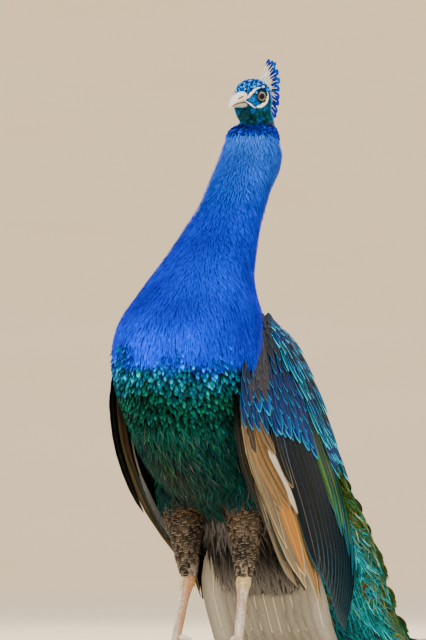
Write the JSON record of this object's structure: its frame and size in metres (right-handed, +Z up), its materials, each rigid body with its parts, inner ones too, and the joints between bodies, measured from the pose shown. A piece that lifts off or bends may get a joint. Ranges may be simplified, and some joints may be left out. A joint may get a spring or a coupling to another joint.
{
  "type": "peacock",
  "caption": "Life-size Indian peacock standing with raised neck, folded drooping wings and a long closed train that trails behind it on the floor.",
  "frame": {"origin": "middle of the bounding box seen from above, at floor level", "axes": "+Z up, -Y the way the bird faces, with the train trailing along +Y; +X to the bird's left"},
  "size_m": [0.438, 1.3616, 0.8856],
  "materials": {
    "blue_plumage": "iridescent cobalt feathers",
    "green_plumage": "iridescent green feathers with dark bases",
    "down": "loose grey-brown down",
    "shin_plumage": "short brown feathers with pale bars",
    "horn": "smooth horn",
    "leg_scale": "dry scaly skin",
    "eye": "wet and clear",
    "wing_covert": "dark feathers edged with bright blue",
    "wing_black": "smooth black flight feathers",
    "wing_tan": "stiff rust and tan flight feathers",
    "tail_plumage": "stiff beige tail feathers",
    "back_plumage": "bronze-green scaly feathers",
    "train_plumage": "loose green and teal barbs with eye-spots"
  },
  "bodies": {
    "root": {"back": "back_plumage", "belly": "green_plumage", "bill_lower": "horn", "bill_upper": "horn", "breast": "blue_plumage", "claw_left_hind": "horn", "claw_left_inner": "horn", "claw_left_middle": "horn", "claw_left_outer": "horn", "claw_right_hind": "horn", "claw_right_inner": "horn", "claw_right_middle": "horn", "claw_right_outer": "horn", "crest": "blue_plumage", "eye_left": "eye", "eye_right": "eye", "foot_left": "leg_scale", "foot_right": "leg_scale", "head": "blue_plumage", "neck_lower": "blue_plumage", "neck_upper": "blue_plumage", "rump": "back_plumage", "shank_left": "leg_scale", "shank_right": "leg_scale", "spur_left": "horn", "spur_right": "horn", "tail": "tail_plumage", "thigh_left": "shin_plumage", "thigh_right": "shin_plumage", "toe_left_hind": "leg_scale", "toe_left_inner": "leg_scale", "toe_left_middle": "leg_scale", "toe_left_outer": "leg_scale", "toe_right_hind": "leg_scale", "toe_right_inner": "leg_scale", "toe_right_middle": "leg_scale", "toe_right_outer": "leg_scale", "train_end": "train_plumage", "train_middle": "train_plumage", "train_saddle": "back_plumage", "train_upper": "train_plumage", "vent_down": "down", "wing_left_coverts": "wing_covert", "wing_left_primaries": "wing_tan", "wing_left_secondaries": "wing_black", "wing_right_coverts": "wing_covert", "wing_right_primaries": "wing_tan", "wing_right_secondaries": "wing_black"}
  },
  "joints": []
}
